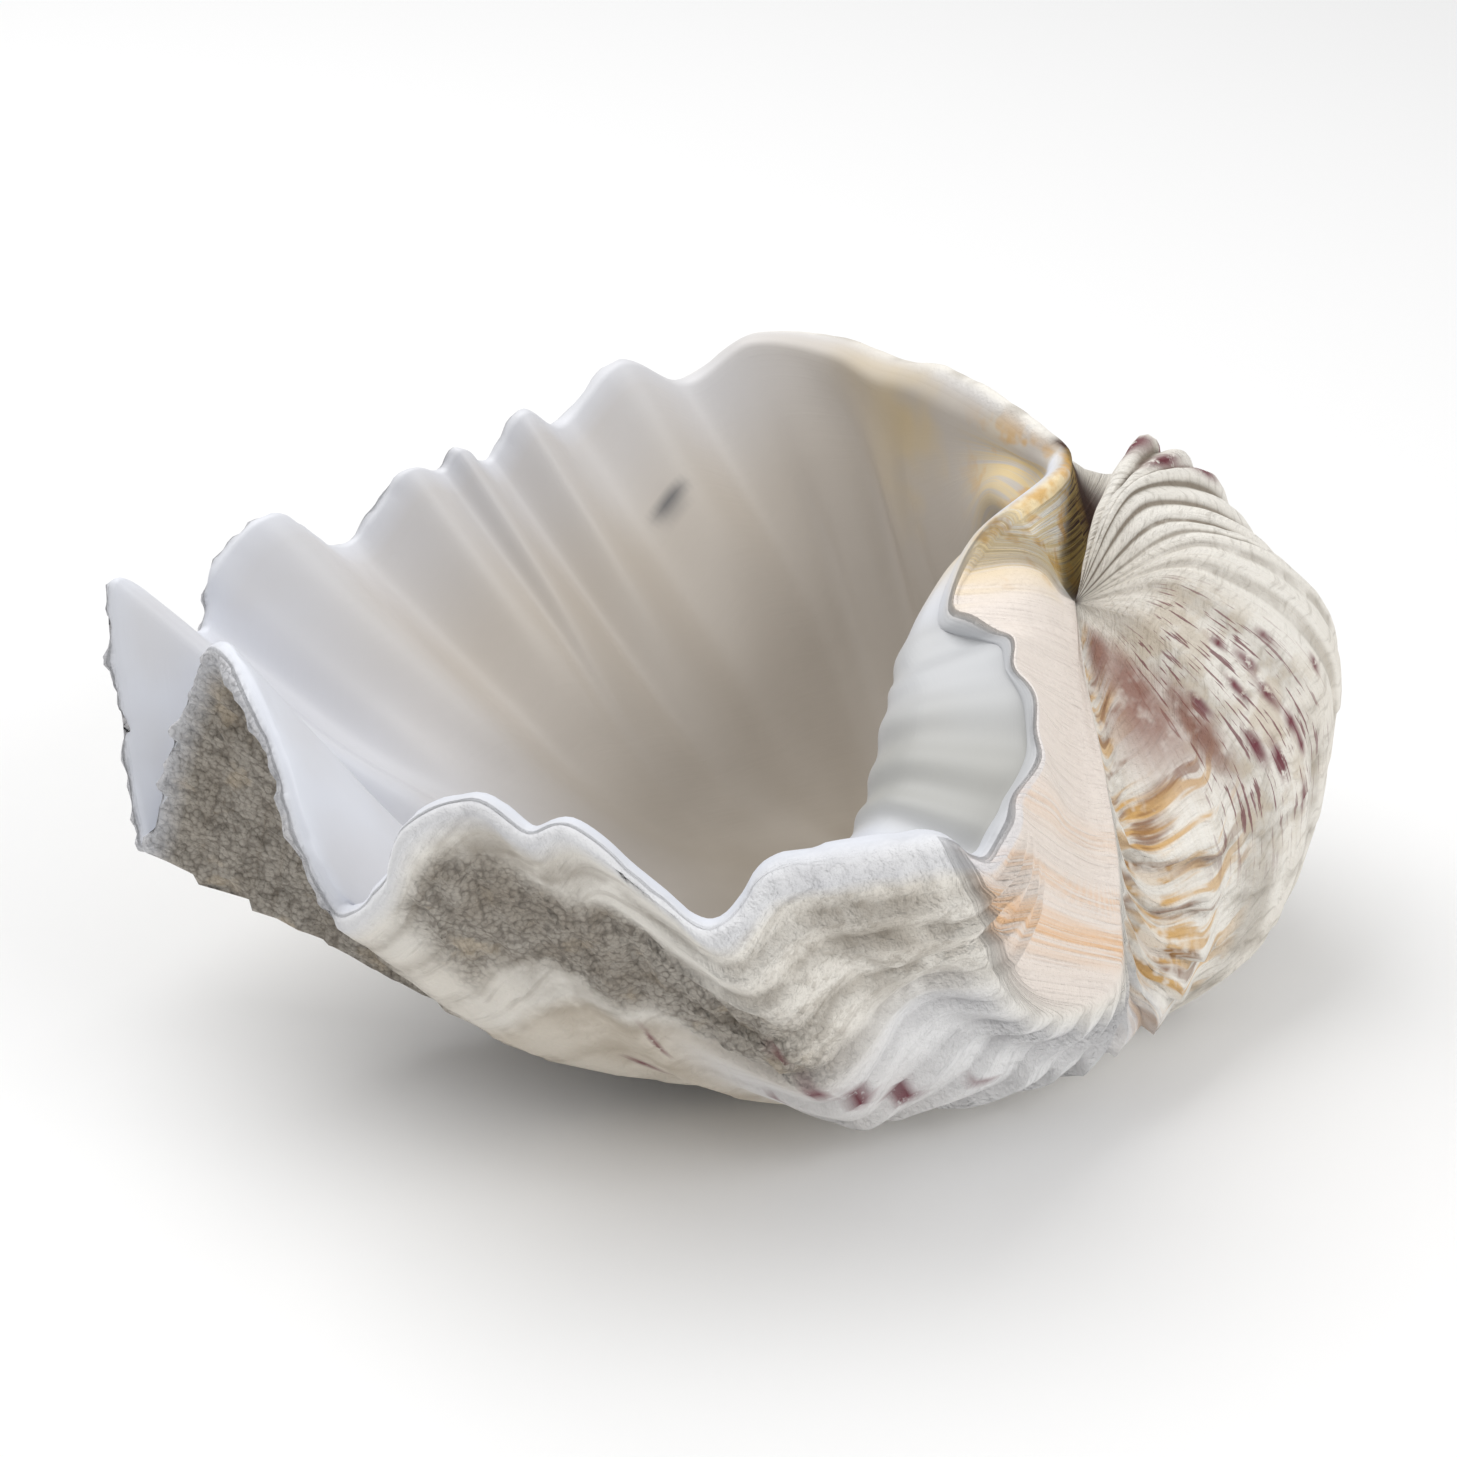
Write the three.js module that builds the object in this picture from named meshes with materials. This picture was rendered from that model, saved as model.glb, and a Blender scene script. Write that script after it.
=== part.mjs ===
// One valve of a small giant clam, lying on its round back with the bowl open upwards.
// Millimetres, +Z up. +X points to the beak, -Y to the side with the flat lunule face.
// The origin lies on the surface that the valve rests on, under the middle of its box.

import * as THREE from 'three';

const { smoothstep } = THREE.MathUtils;

// Points that both skins start from: the tip of the beak outside, and the back of the hollow inside.
const BEAK = [67, -3, 80];
const HOLLOW_BACK = [64, 0, 46];

// The rim, from the top of the ligament slit round by the near side and back along the hinge line.
// A place on the rim is counted in these points, so place 9.5 is midway from point 9 to point 10.
const SLIT_AND_CREST = [[68, 30, 95], [65, 16, 95], [52, -1, 93]];
const FLAP = [[43, -21, 90], [51, -31, 90], [54, -44, 88], [57, -60, 83], [53, -74, 77]];
const KNUCKLE = [[48, -84, 70], [40, -90, 74], [21, -94, 73], [8, -96, 71]];
const NEAR_DIP = [[-2, -99, 63], [-12, -97, 70]];
const NEAR_LOBE = [[-27, -96, 83], [-35, -95, 81], [-45, -92, 86], [-56, -90, 79], [-62, -83, 62]];
const LEFT_DIP = [[-71, -73, 50], [-78, -67, 60], [-85, -56, 78]];
const LEFT_FIN = [[-95, -40, 87], [-104, -31, 66]];
const END_DIP = [[-113, -25, 36], [-117, -16, 64]];
const END_FIN = [[-117, -12, 88], [-104, 4, 68], [-101, 8, 80]];
const FAR_LOBES = [
  [-90, 15, 88], [-78, 29, 74], [-66, 34, 88], [-59, 40, 85], [-55, 41, 90],
  [-50, 51, 82], [-43, 54, 92], [-36, 66, 83], [-24, 75, 93], [-10, 83, 85],
];
const HINGE_LINE = [[6, 87, 94], [25, 83, 95], [37, 71, 96], [46, 61, 99], [57, 41, 101], [63, 32, 100]];
const RIM = [
  ...SLIT_AND_CREST, ...FLAP, ...KNUCKLE, ...NEAR_DIP, ...NEAR_LOBE, ...LEFT_DIP,
  ...LEFT_FIN, ...END_DIP, ...END_FIN, ...FAR_LOBES, ...HINGE_LINE,
];
const ROUND = RIM.length;

const line = (place, ...points) => ({ place, points });

// Lines on the outer skin, from the beak over the back to the mean height of the rim at that place.
const OUTER_LINES = [
  line(0, [69, 6, 80], [70, 14, 83], [69, 22, 88], [68, 30, 94]),
  line(2, [64, -5, 84], [61, -4, 89], [57, -3, 92], [52, -1, 93]),
  line(5, [67, -12, 76], [65, -22, 75], [60, -33, 79], [54, -44, 88]),
  line(7, [67, -12, 73], [68, -27, 66], [66, -44, 57], [60, -63, 60], [53, -74, 76]),
  line(9, [69, -17, 68], [72, -34, 54], [74, -48, 38], [72, -58, 24], [54, -73, 32], [40, -90, 72]),
  line(11, [72, -15, 68], [80, -35, 45], [82, -48, 22], [64, -62, 14], [34, -77, 30], [8, -96, 70]),
  line(12, [75, -13, 70], [89, -28, 44], [85, -41, 17], [58, -59, 10], [22, -77, 21], [0, -95, 68]),
  line(15, [80, -12, 74], [101, -23, 46], [94, -35, 14], [48, -58, 4], [-6, -77, 15], [-33, -95, 73]),
  line(19, [85, -9, 80], [110, -14, 50], [100, -24, 10], [42, -44, 1], [-30, -60, 14], [-70, -79, 59]),
  line(24, [90, -4, 86], [117, -2, 58], [104, -8, 7], [40, -15, -3], [-42, -27, 9], [-110, -25, 60]),
  line(29, [93, 3, 90], [120, 11, 64], [107, 10, 11], [48, 6, -3], [-22, 8, 13], [-88, 18, 78]),
  line(35, [86, 8, 93], [113, 20, 70], [106, 26, 20], [62, 26, 1], [8, 38, 15], [-38, 60, 86]),
  line(39, [80, 11, 96], [102, 30, 80], [102, 43, 34], [74, 50, 11], [38, 68, 34], [12, 86, 92]),
  line(42, [76, 10, 97], [92, 31, 92], [92, 50, 60], [74, 60, 42], [56, 66, 58], [45, 62, 92]),
  line(44, [71, 7, 90], [78, 22, 97], [82, 34, 92], [77, 41, 84], [69, 38, 88], [64, 33, 97]),
];

// Lines on the inner skin, from the back of the hollow over the floor to just inside the rim.
const INNER_LINES = [
  line(0, [70, 6, 58], [66, 12, 74], [57, 18, 86], [62, 26, 91], [63, 25, 94]),
  line(2, [62, -5, 60], [50, -8, 74], [41, -6, 85], [44, -4, 90], [46, -3, 92]),
  line(3, [59, -9, 57], [45, -14, 66], [34, -19, 77], [35, -21, 84], [39, -21, 87]),
  line(5, [56, -14, 50], [38, -26, 60], [29, -38, 75], [38, -43, 83], [49, -44, 87]),
  line(7, [52, -20, 40], [36, -37, 46], [25, -50, 62], [33, -62, 74], [52, -74, 77]),
  line(9, [48, -22, 34], [32, -42, 34], [19, -56, 50], [24, -72, 66], [40, -90, 72]),
  line(12, [45, -20, 24], [22, -40, 18], [4, -62, 28], [-2, -82, 50], [0, -95, 66]),
  line(15, [42, -18, 20], [8, -36, 16], [-18, -58, 28], [-32, -78, 50], [-33, -93, 76]),
  line(19, [38, -14, 18], [-5, -28, 17], [-38, -44, 32], [-58, -58, 52], [-70, -74, 66]),
  line(24, [36, -8, 17], [-15, -15, 19], [-58, -18, 38], [-90, -20, 60], [-108, -22, 68]),
  line(29, [38, -2, 17], [-8, 3, 18], [-46, 10, 38], [-68, 15, 60], [-88, 18, 78]),
  line(35, [44, 4, 19], [14, 18, 17], [-6, 34, 36], [-24, 48, 62], [-38, 60, 86]),
  line(39, [54, 10, 26], [40, 32, 18], [28, 54, 34], [18, 74, 64], [12, 86, 92]),
  line(42, [64, 14, 34], [58, 32, 36], [48, 46, 56], [40, 58, 80], [40, 57, 94]),
  line(44, [72, 14, 54], [64, 24, 68], [52, 28, 86], [57, 31, 93], [58, 30, 95]),
];

// Ribs: places of the crests on the outer skin, how far a crest stands out and a furrow goes in, and
// the width of skin from one place to the next that a rib of full height takes.
const RIB_CRESTS = [8, 12, 19, 24, 27, 30, 32, 34, 36, 38, 39.4, 40.6, 41.8, 42.8, 43.7];
const RIB_HEIGHT = 3;
const RIB_HEIGHT_AT_BEAK = 0.6;
const RIB_SHARE_IN_SLIT = 0.2;
const RIB_SHARE_INSIDE = 0.2;
const RIB_ROOM = 12;
const HALF_PLACE = 0.5;
const FURROW_SHARPNESS = 1.6;
const RIBBED_PLACES = [7.2, 9.5, 43.2, 44.6];

// Growth ledges: the share of the way from beak to rim at which each ends, and the step it ends in.
const LEDGE_ENDS = [0.46, 0.55, 0.64, 0.72, 0.8, 0.88, 0.95];
const LEDGE_START = 0.36;
const LEDGE_HEIGHT = 1.3;
const LEDGE_SHARE_FAR_SIDE = 0.55;
const LEDGE_RUN = 0.015;
const LEDGED_PLACES = [8.5, 10, 42, 43.5];
const LEDGES_WEAKEN = [13, 20];

// The swollen last growth of the knuckle, which overhangs the lunule face below it.
const SWELL_HEIGHT = 6;
const SWELL_RUN = 0.06;
const SWOLLEN_PLACES = [7, 9, 11.6, 13.2];
const SWELL_STARTS = [[7, 1], [8, 0.955], [9, 0.91], [11, 0.84], [12, 0.78], [13, 0.72]];

// Shallow scallops along the flap.
const SCALLOP_HEIGHT = 0.8;
const SCALLOP_FIRST = 3.4;
const SCALLOPED_PLACES = [2.8, 3.6, 7, 7.8];

// How far in from the rim the folds of the rim reach.
const FOLD_START = 0.55;
const FOLD_POWER = 2.2;

// Wall thickness at the rim by place, and how much thicker the wall is deeper in the shell.
// Then the shares of the way to the rim at which the inner skin takes on the ribs, the thinner wall
// and the course of the outer skin. Round the flap and the knuckle, which are thick, it does that later.
const RIM_WALL = [[0, 7], [2, 7], [5, 4], [7, 6], [9, 9], [11, 8], [12, 6], [16, 5], [19, 5],
  [24, 4], [29, 4.5], [35, 5], [39, 7], [42, 10], [44, 6]];
const EXTRA_WALL = 6;
const INNER_SHARE = 0.33;
const FOLLOWING_PLACES = [2.4, 4.4, 40.5, 42.5];
const LATER_PLACES = [1, 3, 10, 16];
const RIBS_REACH_INSIDE = [0.6, 1];
const WALL_THINS = [0.5, 0.95];
const FOLLOWS_FROM = 0.35;
const FOLLOWS_FULLY = 0.85;
const LATER_BY = [0.4, 0.15];
const LIP_ROUNDING = 0.7;

// On the fins of the near and left side the wall is measured nearly square to their folded skin.
const FIN_PLACES = [13, 14.5, 20, 22];
const FIN_STARTS = [0.74, 0.9];
const FIN_LEAN = 0.8;
const FIN_PLACE_STEP = 0.4;
const FIN_SHARE_STEP = 0.02;

// The ribs that it rests on are worn flat to this depth.
const WORN_DEPTH = 3.2;

// Mesh rows: share of the way from beak or hollow to the rim, and columns for each rim point.
const OUTER_ROWS_TO_FIRST_LEDGE = [0.03, 0.07, 0.12, 0.18, 0.24, 0.3, 0.36, 0.41];
const INNER_ROWS = [0.1, 0.22, 0.34, 0.44, 0.52, 0.6, 0.68, 0.76, 0.84, 0.92, 1];
const LIP_ANGLES = [0.4 * Math.PI, 0.6 * Math.PI];
const COLUMNS_PER_POINT = 3;
const PLACE_STEP = 0.05;
const SHARE_STEP = 0.004;

const SHELL_COLOUR = 0xe4dccd;
const SHELL_ROUGHNESS = 0.45;

const toVector = ([x, y, z]) => new THREE.Vector3(x, y, z);
const wrap = (place) => ((place % ROUND) + ROUND) % ROUND;
const windowed = (place, a, b, c, d) => smoothstep(place, a, b) * (1 - smoothstep(place, c, d));

// Weights of the four knots around a place, for a smooth closed curve through uneven knots.
function weightsAround(places, at) {
  const place = wrap(at);
  const count = places.length;
  let i = places.findLastIndex((knot) => knot <= place);
  let shift = 0;
  if (i < 0) {
    i = count - 1;
    shift = -ROUND;
  }
  const knots = [-1, 0, 1, 2].map((step) => {
    const index = (i + step + count) % count;
    const turns = Math.floor((i + step) / count);
    return { index, at: places[index] + turns * ROUND + shift };
  });
  const [x0, x1, x2, x3] = knots.map((knot) => knot.at);
  const before = x1 - x0;
  const span = x2 - x1;
  const after = x3 - x2;
  const f = (place - x1) / span;
  const valueStart = (1 + 2 * f) * (1 - f) ** 2;
  const slopeStart = f * (1 - f) ** 2 * span;
  const valueEnd = f * f * (3 - 2 * f);
  const slopeEnd = f * f * (f - 1) * span;
  const weights = [
    slopeStart * (-span / (before * (before + span))),
    valueStart + slopeStart * ((span / before - before / span) / (before + span))
      - slopeEnd * (after / (span * (span + after))),
    valueEnd + slopeStart * (before / (span * (before + span)))
      + slopeEnd * ((after / span - span / after) / (span + after)),
    slopeEnd * (span / (after * (span + after))),
  ];
  return knots.map((knot, k) => ({ index: knot.index, weight: weights[k] }));
}

function makeNet(start, lines) {
  const places = lines.map((line) => line.place);
  const curves = lines.map(
    (line) => new THREE.CatmullRomCurve3([start, ...line.points].map(toVector), false, 'catmullrom', 0.5),
  );
  return (place, share) => {
    const point = new THREE.Vector3();
    for (const { index, weight } of weightsAround(places, place)) {
      point.addScaledVector(curves[index].getPoint(share), weight);
    }
    return point;
  };
}

const outerNet = makeNet(BEAK, OUTER_LINES);
const innerNet = makeNet(HOLLOW_BACK, INNER_LINES);

function rimPoint(place) {
  const point = new THREE.Vector3();
  for (const { index, weight } of weightsAround([...RIM.keys()], place)) {
    point.addScaledVector(toVector(RIM[index]), weight);
  }
  return point;
}

function rimWall(place) {
  const places = RIM_WALL.map(([at]) => at);
  const shares = weightsAround(places, place).map(({ index, weight }) => RIM_WALL[index][1] * weight);
  return shares.reduce((sum, share) => sum + share, 0);
}

// The direction out of the shell, on the outer skin without its ribs.
function outward(place, share) {
  const t = THREE.MathUtils.clamp(share, SHARE_STEP, 1 - SHARE_STEP);
  const acrossRibs = outerNet(place + PLACE_STEP, share).sub(outerNet(place - PLACE_STEP, share));
  const alongRibs = outerNet(place, t + SHARE_STEP).sub(outerNet(place, t - SHARE_STEP));
  return alongRibs.cross(acrossRibs).normalize();
}

// +1 on the crest of a rib and -1 midway between two.
function ribWave(at) {
  const place = wrap(at);
  const crests = [RIB_CRESTS.at(-1) - ROUND, ...RIB_CRESTS, RIB_CRESTS[0] + ROUND];
  const i = crests.findLastIndex((crest) => crest <= place);
  const f = (place - crests[i]) / (crests[i + 1] - crests[i]);
  const depth = (1 - Math.cos(2 * Math.PI * f)) / 2;
  return 1 - 2 * depth ** FURROW_SHARPNESS;
}

// Ribs are lower where the skin is narrow, because they would run into each other there.
function ribLift(place, share) {
  const [first, full] = RIBBED_PLACES;
  const size = windowed(place, ...RIBBED_PLACES) * (1 - RIB_SHARE_IN_SLIT)
    + RIB_SHARE_IN_SLIT * smoothstep(place, first, full);
  const growth = RIB_HEIGHT_AT_BEAK + (1 - RIB_HEIGHT_AT_BEAK) * share;
  const room = outerNet(place + HALF_PLACE, share).distanceTo(outerNet(place - HALF_PLACE, share));
  return RIB_HEIGHT * size * growth * Math.min(1, room / RIB_ROOM) * ribWave(place);
}

function ledgeLift(place, share) {
  const k = LEDGE_ENDS.findIndex((end) => share < end);
  if (share < LEDGE_START || k < 0) return 0;
  const start = k === 0 ? LEDGE_START : LEDGE_ENDS[k - 1];
  const rise = (share - start) / (LEDGE_ENDS[k] - start);
  const near = 1 - smoothstep(place, ...LEDGES_WEAKEN);
  const size = LEDGE_SHARE_FAR_SIDE + (1 - LEDGE_SHARE_FAR_SIDE) * near;
  return LEDGE_HEIGHT * size * rise * windowed(place, ...LEDGED_PLACES);
}

function swellLift(place, share) {
  const last = SWELL_STARTS.length - 1;
  const k = THREE.MathUtils.clamp(SWELL_STARTS.findLastIndex(([at]) => at <= place), 0, last - 1);
  const [[from, low], [to, high]] = [SWELL_STARTS[k], SWELL_STARTS[k + 1]];
  const start = THREE.MathUtils.lerp(low, high, THREE.MathUtils.clamp((place - from) / (to - from), 0, 1));
  return SWELL_HEIGHT * windowed(place, ...SWOLLEN_PLACES) * smoothstep(share, start, start + SWELL_RUN);
}

function scallopLift(place, share) {
  const wave = Math.cos(2 * Math.PI * (place - SCALLOP_FIRST));
  return SCALLOP_HEIGHT * windowed(place, ...SCALLOPED_PLACES) * wave * smoothstep(share, FOLD_START, 1);
}

// What is missing between the ribbed skin and the real rim, which has lobes, fins and dips.
function foldAtRim(place) {
  const end = outerNet(place, 1);
  end.addScaledVector(outward(place, 1), ribLift(place, 1) + swellLift(place, 1));
  return rimPoint(place).sub(end);
}

const foldReach = (share) => Math.max(0, (share - FOLD_START) / (1 - FOLD_START)) ** FOLD_POWER;

// The outer skin with its ribs and folds, raised by more where that is asked for.
function foldedPoint(place, share, more = 0) {
  const lift = ribLift(place, share) + swellLift(place, share) + scallopLift(place, share) + more;
  return outerNet(place, share)
    .addScaledVector(outward(place, share), lift)
    .addScaledVector(foldAtRim(place), foldReach(share));
}

const outerPoint = (place, share) => foldedPoint(place, share, ledgeLift(place, share));

function throughWall(place, share) {
  const t = THREE.MathUtils.clamp(share, FIN_SHARE_STEP, 1 - FIN_SHARE_STEP);
  const across = foldedPoint(place + FIN_PLACE_STEP, share).sub(foldedPoint(place - FIN_PLACE_STEP, share));
  const growth = foldedPoint(place, t + FIN_SHARE_STEP).sub(foldedPoint(place, t - FIN_SHARE_STEP));
  const square = growth.cross(across).normalize();
  const lean = FIN_LEAN * windowed(wrap(place), ...FIN_PLACES) * smoothstep(share, ...FIN_STARTS);
  return outward(place, share).lerp(square, lean).normalize();
}

// Near the rim the inner skin follows the outer one a wall's thickness in. Deeper it has its own shape.
function innerPoint(place, share) {
  const outerShare = 1 - (1 - share) * INNER_SHARE;
  const ribs = RIB_SHARE_INSIDE + (1 - RIB_SHARE_INSIDE) * smoothstep(share, ...RIBS_REACH_INSIDE);
  const wall = rimWall(place) + EXTRA_WALL * (1 - smoothstep(share, ...WALL_THINS));
  const lift = (ribLift(place, outerShare) + swellLift(place, outerShare)) * ribs
    + scallopLift(place, outerShare);
  const follows = outerNet(place, outerShare)
    .addScaledVector(outward(place, outerShare), lift)
    .addScaledVector(foldAtRim(place), foldReach(outerShare))
    .addScaledVector(throughWall(place, outerShare), -wall);
  const later = windowed(place, ...LATER_PLACES);
  const [byFrom, byFully] = LATER_BY;
  const near = smoothstep(share, FOLLOWS_FROM + byFrom * later, FOLLOWS_FULLY + byFully * later);
  const blend = windowed(place, ...FOLLOWING_PLACES) * near;
  return innerNet(place, share).lerp(follows, blend);
}

// Rows of points between the two skins, round the edge of the rim.
function lipRows(outerRows, innerRows) {
  const lastOf = (rows, column) => rows.at(-1)[column];
  const growthAt = (rows, column) => rows.at(-1)[column].clone().sub(rows.at(-2)[column]).normalize();
  return LIP_ANGLES.map((angle) => outerRows[0].map((_, column) => {
    const outside = lastOf(outerRows, column);
    const middle = outside.clone().lerp(lastOf(innerRows, column), 0.5);
    const toOutside = outside.clone().sub(middle);
    const growth = growthAt(outerRows, column).add(growthAt(innerRows, column)).normalize();
    const reach = toOutside.length() * LIP_ROUNDING * Math.sin(angle);
    return middle.addScaledVector(toOutside, Math.cos(angle)).addScaledVector(growth, reach);
  }));
}

function outerShares() {
  const shares = [...OUTER_ROWS_TO_FIRST_LEDGE];
  for (const end of LEDGE_ENDS) shares.push(end - SHARE_STEP / 4, end + LEDGE_RUN);
  shares.push(1);
  return shares;
}

// Rests the valve on its worn ribs and puts the middle of its box over the origin.
function settle(points) {
  const box = new THREE.Box3().setFromPoints(points);
  const floor = box.min.z + WORN_DEPTH;
  for (const point of points) {
    point.z = Math.max(point.z, floor) - floor;
    point.x -= (box.min.x + box.max.x) / 2;
    point.y -= (box.min.y + box.max.y) / 2;
  }
}

function closedSkin(firstPole, rows, lastPole) {
  const columns = rows[0].length;
  const points = [firstPole, ...rows.flat(), lastPole];
  const lastIndex = points.length - 1;
  const at = (row, column) => 1 + row * columns + (column % columns);
  const faces = [];
  for (let column = 0; column < columns; column += 1) {
    faces.push(0, at(0, column), at(0, column + 1));
    for (let row = 0; row < rows.length - 1; row += 1) {
      const [a, b] = [at(row, column), at(row, column + 1)];
      const [c, d] = [at(row + 1, column + 1), at(row + 1, column)];
      faces.push(a, c, b, a, d, c);
    }
    const lastRow = rows.length - 1;
    faces.push(at(lastRow, column), lastIndex, at(lastRow, column + 1));
  }
  settle(points);
  const geometry = new THREE.BufferGeometry().setFromPoints(points);
  geometry.setIndex(faces);
  return geometry;
}

function valveGeometry() {
  const columnCount = ROUND * COLUMNS_PER_POINT;
  const places = Array.from({ length: columnCount }, (_, k) => k / COLUMNS_PER_POINT);
  const outerRows = outerShares().map((share) => places.map((place) => outerPoint(place, share)));
  const innerRows = INNER_ROWS.map((share) => places.map((place) => innerPoint(place, share)));
  const rows = [...outerRows, ...lipRows(outerRows, innerRows), ...innerRows.toReversed()];
  return closedSkin(toVector(BEAK), rows, toVector(HOLLOW_BACK));
}

function shellMaterial() {
  return new THREE.MeshStandardMaterial({
    color: SHELL_COLOUR,
    roughness: SHELL_ROUGHNESS,
    metalness: 0,
  });
}

function makeValve() {
  const valve = new THREE.Mesh(valveGeometry(), shellMaterial());
  valve.name = 'valve';
  return valve;
}

const shell = new THREE.Group();
shell.add(makeValve());

export default shell;
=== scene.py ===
"""Dresses one valve of a small giant clam: its finished surface, its finish, the floor, the lights and the camera."""

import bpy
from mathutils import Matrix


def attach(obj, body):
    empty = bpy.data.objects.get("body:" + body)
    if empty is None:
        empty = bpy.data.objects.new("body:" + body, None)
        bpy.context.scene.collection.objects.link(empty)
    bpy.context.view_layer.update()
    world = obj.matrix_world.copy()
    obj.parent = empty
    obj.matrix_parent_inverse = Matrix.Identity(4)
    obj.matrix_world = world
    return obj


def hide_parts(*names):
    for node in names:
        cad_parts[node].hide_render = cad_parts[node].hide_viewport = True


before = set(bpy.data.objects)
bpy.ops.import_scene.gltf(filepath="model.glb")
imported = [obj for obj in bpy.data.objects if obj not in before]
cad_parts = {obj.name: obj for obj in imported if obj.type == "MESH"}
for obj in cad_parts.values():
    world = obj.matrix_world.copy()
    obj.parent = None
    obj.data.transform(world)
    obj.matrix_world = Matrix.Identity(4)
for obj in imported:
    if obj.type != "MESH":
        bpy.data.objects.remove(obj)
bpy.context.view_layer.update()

import math

import bpy
import numpy as np
from mathutils import Vector, noise

bl_info = {
    "name": "Giant clam valve",
    "version": (1, 0, 0),
    "blender": (4, 5, 0),
    "location": "View3D > Sidebar > Clam",
    "description": "One valve of a small giant clam on a studio floor",
    "category": "Object",
}

MM = 0.001

# The shell is drawn in millimetres, as in the part's source, and then moved by this much to rest on the floor.
SETTLED_BY = (-1.266, 6.0, 3.479)

BEAK = (67, -3, 80)
HOLLOW_BACK = (64, 0, 46)

# The rim, from the top of the ligament slit round by the near side and back along the hinge line.
# A place on the rim is counted in these points.
RIM = (
    (68, 30, 95), (65, 16, 95), (52, -1, 93),
    (43, -21, 90), (51, -31, 90), (54, -44, 88), (57, -60, 83), (53, -74, 77),
    (48, -84, 70), (40, -90, 74), (21, -94, 73), (8, -96, 71),
    (-2, -99, 63), (-12, -97, 70),
    (-27, -96, 83), (-35, -95, 81), (-45, -92, 86), (-56, -90, 79), (-62, -83, 62),
    (-71, -73, 50), (-78, -67, 60), (-85, -56, 78),
    (-95, -40, 87), (-104, -31, 66),
    (-113, -25, 36), (-117, -16, 64),
    (-117, -12, 88), (-104, 4, 68), (-101, 8, 80),
    (-90, 15, 88), (-78, 29, 74), (-66, 34, 88), (-59, 40, 85), (-55, 41, 90),
    (-50, 51, 82), (-43, 54, 92), (-36, 66, 83), (-24, 75, 93), (-10, 83, 85),
    (6, 87, 94), (25, 83, 95), (37, 71, 96), (46, 61, 99), (57, 41, 101), (63, 32, 100),
)
ROUND = len(RIM)

# Lines on the outer skin, by place on the rim, from the beak over the back to the rim.
OUTER_LINES = {
    0: ((69, 6, 80), (70, 14, 83), (69, 22, 88), (68, 30, 94)),
    2: ((64, -5, 84), (61, -4, 89), (57, -3, 92), (52, -1, 93)),
    5: ((67, -12, 76), (65, -22, 75), (60, -33, 79), (54, -44, 88)),
    7: ((67, -12, 73), (68, -27, 66), (66, -44, 57), (60, -63, 60), (53, -74, 76)),
    9: ((69, -17, 68), (72, -34, 54), (74, -48, 38), (72, -58, 24), (54, -73, 32), (40, -90, 72)),
    11: ((72, -15, 68), (80, -35, 45), (82, -48, 22), (64, -62, 14), (34, -77, 30), (8, -96, 70)),
    12: ((75, -13, 70), (89, -28, 44), (85, -41, 17), (58, -59, 10), (22, -77, 21), (0, -95, 68)),
    15: ((80, -12, 74), (101, -23, 46), (94, -35, 14), (48, -58, 4), (-6, -77, 15), (-33, -95, 73)),
    19: ((85, -9, 80), (110, -14, 50), (100, -24, 10), (42, -44, 1), (-30, -60, 14), (-70, -79, 59)),
    24: ((90, -4, 86), (117, -2, 58), (104, -8, 7), (40, -15, -3), (-42, -27, 9), (-110, -25, 60)),
    29: ((93, 3, 90), (120, 11, 64), (107, 10, 11), (48, 6, -3), (-22, 8, 13), (-88, 18, 78)),
    35: ((86, 8, 93), (113, 20, 70), (106, 26, 20), (62, 26, 1), (8, 38, 15), (-38, 60, 86)),
    39: ((80, 11, 96), (102, 30, 80), (102, 43, 34), (74, 50, 11), (38, 68, 34), (12, 86, 92)),
    42: ((76, 10, 97), (92, 31, 92), (92, 50, 60), (74, 60, 42), (56, 66, 58), (45, 62, 92)),
    44: ((71, 7, 90), (78, 22, 97), (82, 34, 92), (77, 41, 84), (69, 38, 88), (64, 33, 97)),
}

# Lines on the inner skin, from the back of the hollow over the floor to just inside the rim.
INNER_LINES = {
    0: ((70, 6, 58), (66, 12, 74), (57, 18, 86), (62, 26, 91), (63, 25, 94)),
    2: ((62, -5, 60), (50, -8, 74), (41, -6, 85), (44, -4, 90), (46, -3, 92)),
    3: ((59, -9, 57), (45, -14, 66), (34, -19, 77), (35, -21, 84), (39, -21, 87)),
    5: ((56, -14, 50), (38, -26, 60), (29, -38, 75), (38, -43, 83), (49, -44, 87)),
    7: ((52, -20, 40), (36, -37, 46), (25, -50, 62), (33, -62, 74), (52, -74, 77)),
    9: ((48, -22, 34), (32, -42, 34), (19, -56, 50), (24, -72, 66), (40, -90, 72)),
    12: ((45, -20, 24), (22, -40, 18), (4, -62, 28), (-2, -82, 50), (0, -95, 66)),
    15: ((42, -18, 20), (8, -36, 16), (-18, -58, 28), (-32, -78, 50), (-33, -93, 76)),
    19: ((38, -14, 18), (-5, -28, 17), (-38, -44, 32), (-58, -58, 52), (-70, -74, 66)),
    24: ((36, -8, 17), (-15, -15, 19), (-58, -18, 38), (-90, -20, 60), (-108, -22, 68)),
    29: ((38, -2, 17), (-8, 3, 18), (-46, 10, 38), (-68, 15, 60), (-88, 18, 78)),
    35: ((44, 4, 19), (14, 18, 17), (-6, 34, 36), (-24, 48, 62), (-38, 60, 86)),
    39: ((54, 10, 26), (40, 32, 18), (28, 54, 34), (18, 74, 64), (12, 86, 92)),
    42: ((64, 14, 34), (58, 32, 36), (48, 46, 56), (40, 58, 80), (40, 57, 94)),
    44: ((72, 14, 54), (64, 24, 68), (52, 28, 86), (57, 31, 93), (58, 30, 95)),
}

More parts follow.
